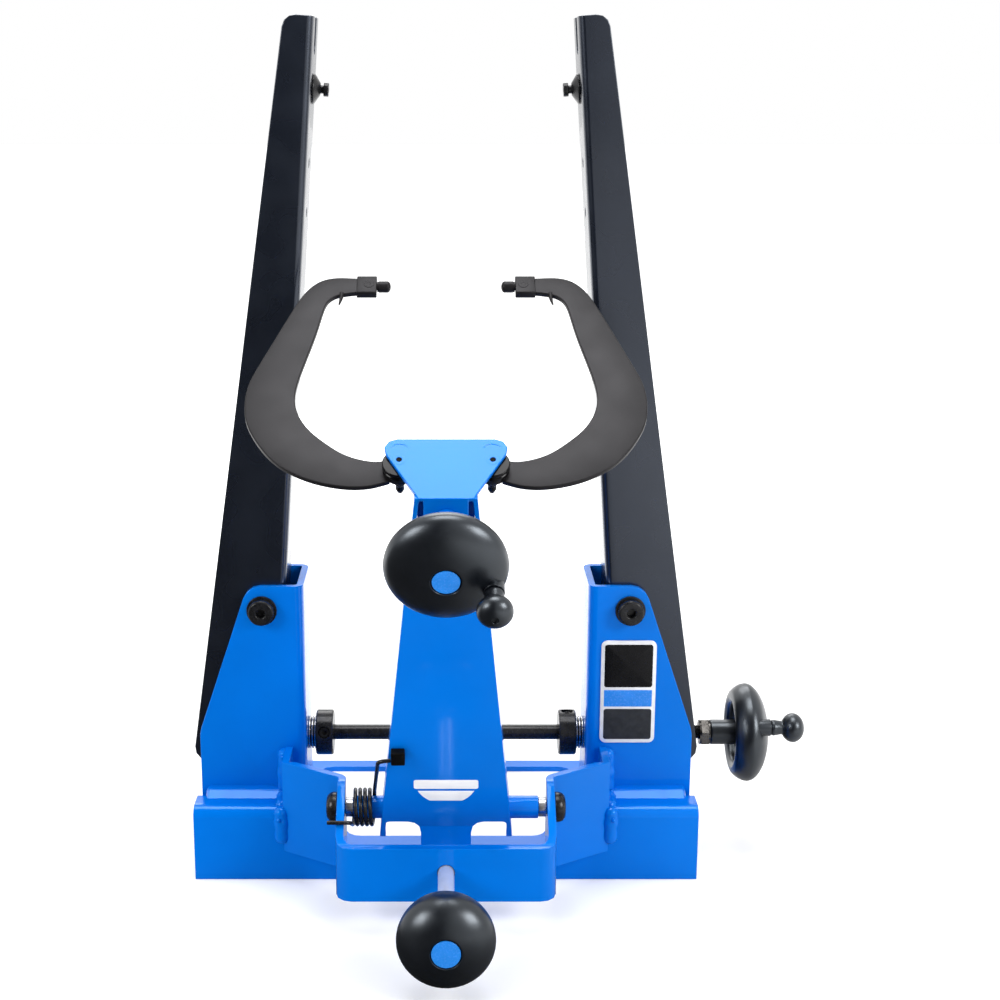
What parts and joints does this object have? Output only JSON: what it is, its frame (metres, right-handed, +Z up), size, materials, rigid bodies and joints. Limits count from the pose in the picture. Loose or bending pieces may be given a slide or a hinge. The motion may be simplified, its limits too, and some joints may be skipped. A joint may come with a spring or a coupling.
{
  "type": "bicycle wheel truing stand",
  "caption": "Bench stand that holds a bicycle wheel by its axle between two self-centring uprights, with screw-driven calipers that gauge the rim.",
  "frame": {"origin": "underside of the base plate, in the middle of its width, 15 mm behind the front face of the two rails", "axes": "+X to the right as seen by the user, +Y back from the user, +Z up"},
  "size_m": [0.3989, 0.3848, 0.5419],
  "materials": {
    "blue_paint": "gloss",
    "black_paint": "satin",
    "caliper_paint": "satin",
    "black_steel": "satin",
    "bright_steel": "satin",
    "chrome": "gloss",
    "black_plastic": "gloss",
    "badge_blue": "satin",
    "badge_silver": "satin",
    "black_rubber": "matte"
  },
  "bodies": {
    "base": {"base_plate": "blue_paint", "left_front_rail": "blue_paint", "right_front_rail": "blue_paint", "left_bracket": "blue_paint", "right_bracket": "blue_paint", "front_strap": "blue_paint", "badge_plate": "badge_silver", "left_upright_bolt": "black_steel", "right_upright_bolt": "black_steel", "left_upright_washer": "black_steel", "right_upright_washer": "black_steel", "left_upright_nut": "black_steel", "right_upright_nut": "black_steel", "left_arm_pivot_screw": "black_steel", "right_arm_pivot_screw": "black_steel", "left_arm_pivot_bush": "bright_steel", "right_arm_pivot_bush": "bright_steel", "depth_screw_nut": "bright_steel"},
    "left_upright": {"left_upright": "black_paint", "left_upright_bush": "bright_steel", "left_axle_cone": "black_steel", "left_axle_cone_screw": "black_steel"},
    "right_upright": {"right_upright": "black_paint", "right_upright_bush": "bright_steel", "right_axle_cone": "black_steel", "right_axle_cone_screw": "black_steel"},
    "left_trunnion": {"left_spreader_nut": "bright_steel"},
    "right_trunnion": {"right_spreader_nut": "bright_steel"},
    "spreader": {"spreader_shaft": "black_steel", "left_thrust_bearing": "bright_steel", "right_thrust_bearing": "bright_steel", "left_shaft_collar": "black_steel", "right_shaft_collar": "black_steel", "left_collar_screw": "black_steel", "right_collar_screw": "black_steel", "handwheel_lock_nut": "black_steel", "handwheel": "black_plastic", "handwheel_badge": "badge_blue"},
    "handwheel_grip": {"handwheel_grip": "black_plastic"},
    "caliper_arm": {"caliper_arm_channel": "blue_paint", "arm_pivot_tube": "blue_paint", "caliper_rod_boss": "blue_paint", "left_caliper_post": "black_steel", "right_caliper_post": "black_steel", "arm_return_spring": "black_steel", "spring_leg_cap": "black_rubber"},
    "left_caliper": {"left_caliper": "caliper_paint", "left_tip_sleeve": "caliper_paint", "left_caliper_tip": "caliper_paint"},
    "right_caliper": {"right_caliper": "caliper_paint", "right_tip_sleeve": "caliper_paint", "right_caliper_tip": "caliper_paint"},
    "caliper_knob": {"caliper_knob": "black_plastic", "caliper_rod": "black_steel", "caliper_knob_badge": "badge_blue"},
    "caliper_grip": {"caliper_knob_grip": "black_plastic"},
    "caliper_yoke": {"caliper_yoke": "black_steel"},
    "depth_screw": {"depth_screw": "chrome"},
    "depth_knob": {"depth_knob": "black_plastic", "depth_knob_badge": "badge_blue"}
  },
  "joints": [
    {"name": "handwheel_turn", "type": "hinge", "parent": "base", "child": "spreader", "pos_m": [0, 0.03725, 0.0815], "axis": [1, 0, 0], "range_deg": [-1760, 3050]},
    {"name": "left_upright_swing", "type": "hinge", "parent": "base", "child": "left_upright", "pos_m": [-0.118, 0.03725, 0.175], "axis": [0, 1, 0], "range_deg": [-4.52, 7.82]},
    {"name": "right_upright_swing", "type": "hinge", "parent": "base", "child": "right_upright", "pos_m": [0.118, 0.03725, 0.175], "axis": [0, 1, 0], "range_deg": [-7.82, 4.52]},
    {"name": "left_trunnion_turn", "type": "hinge", "parent": "left_upright", "child": "left_trunnion", "pos_m": [-0.123, 0.03725, 0.0815], "axis": [0, 1, 0], "range_deg": [-7.82, 4.52]},
    {"name": "right_trunnion_turn", "type": "hinge", "parent": "right_upright", "child": "right_trunnion", "pos_m": [0.123, 0.03725, 0.0815], "axis": [0, 1, 0], "range_deg": [-4.52, 7.82]},
    {"name": "handwheel_grip_spin", "type": "hinge", "parent": "spreader", "child": "handwheel_grip", "pos_m": [0.2, 0.01429, 0.09371], "axis": [1, 0, 0], "continuous": true},
    {"name": "caliper_knob_turn", "type": "hinge", "parent": "caliper_arm", "child": "caliper_knob", "pos_m": [0, -0.13631, 0.28062], "axis": [0, 0.9272, 0.3746], "range_deg": [-780, 1040]},
    {"name": "left_caliper_swing", "type": "hinge", "parent": "caliper_arm", "child": "left_caliper", "pos_m": [-0.0253, -0.13007, 0.30562], "axis": [0, -0.6157, 0.788], "range_deg": [-9.02, 12.02]},
    {"name": "right_caliper_swing", "type": "hinge", "parent": "caliper_arm", "child": "right_caliper", "pos_m": [0.0253, -0.13007, 0.30562], "axis": [0, -0.6157, 0.788], "range_deg": [-12.02, 9.02]},
    {"name": "caliper_yoke_slide", "type": "slide", "parent": "caliper_arm", "child": "caliper_yoke", "axis": [0, 0.9272, 0.3746], "range_m": [-0.00326, 0.00434]},
    {"name": "caliper_grip_spin", "type": "hinge", "parent": "caliper_knob", "child": "caliper_grip", "pos_m": [0.02466, -0.1805, 0.25387], "axis": [0, 0.9272, 0.3746], "continuous": true},
    {"name": "depth_screw_feed", "type": "slide", "parent": "base", "child": "depth_screw", "axis": [0, 1, 0], "range_m": [0, 0.0201]},
    {"name": "depth_knob_turn", "type": "hinge", "parent": "depth_screw", "child": "depth_knob", "pos_m": [0, -0.165, 0.039], "axis": [0, 1, 0], "range_deg": [0, 4820]},
    {"name": "caliper_arm_tilt", "type": "hinge", "parent": "base", "child": "caliper_arm", "pos_m": [0, -0.05, 0.067], "axis": [1, 0, 0], "range_deg": [0, 42.02], "deforming": ["arm_return_spring"]}
  ],
  "couplings": [
    {"joint": "left_upright_swing", "follows": "handwheel_turn", "ratio": 0.0025533},
    {"joint": "right_upright_swing", "follows": "handwheel_turn", "ratio": -0.0025533},
    {"joint": "left_trunnion_turn", "follows": "handwheel_turn", "ratio": -0.0025533},
    {"joint": "right_trunnion_turn", "follows": "handwheel_turn", "ratio": 0.0025533},
    {"joint": "left_caliper_swing", "follows": "caliper_knob_turn", "ratio": 0.011533},
    {"joint": "right_caliper_swing", "follows": "caliper_knob_turn", "ratio": -0.011533},
    {"joint": "caliper_yoke_slide", "follows": "caliper_knob_turn", "m_per_rad": 0.00023873},
    {"joint": "depth_screw_feed", "follows": "depth_knob_turn", "m_per_rad": 0.00023873},
    {"joint": "caliper_arm_tilt", "follows": "depth_knob_turn", "ratio": 0.008713}
  ]
}
